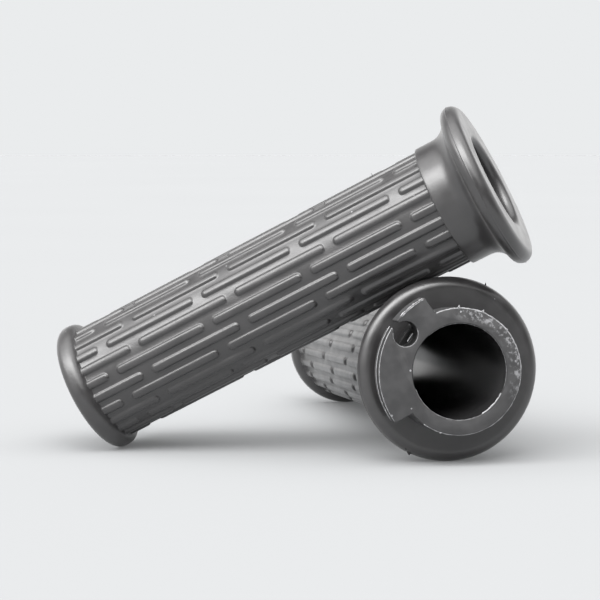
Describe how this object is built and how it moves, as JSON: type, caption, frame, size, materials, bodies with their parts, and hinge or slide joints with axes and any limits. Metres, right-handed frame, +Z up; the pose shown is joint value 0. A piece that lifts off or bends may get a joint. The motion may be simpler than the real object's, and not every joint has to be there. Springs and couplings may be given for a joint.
{
  "type": "motorcycle throttle grip pair",
  "caption": "Pair of ribbed rubber handlebar grips: a throttle grip on its moulded cable-drum tube and a matching plain grip.",
  "frame": {"origin": "on the surface that the pair stands on, under the middle of its box", "axes": "+Z up; +X from the plain grip's closed end towards its flange, seen from above; +Y away from the throttle tube's open end"},
  "size_m": [0.116, 0.1282, 0.0838],
  "materials": {
    "tube_plastic": "moulded nylon, matt, with scuffs on its front face",
    "throttle_rubber": "moulded dark grey rubber, satin",
    "plain_rubber": "moulded dark grey rubber, satin"
  },
  "bodies": {
    "plain_side": {"plain_grip": "plain_rubber"},
    "throttle_side": {"throttle_tube": "tube_plastic", "throttle_sleeve": "throttle_rubber"}
  },
  "joints": [
    {"name": "throttle_twist", "type": "hinge", "parent": "plain_side", "child": "throttle_side", "pos_m": [0.02649, 0.00236, 0.01925], "axis": [-0.1974, 0.9791, -0.0495], "range_deg": [0, 75]}
  ]
}
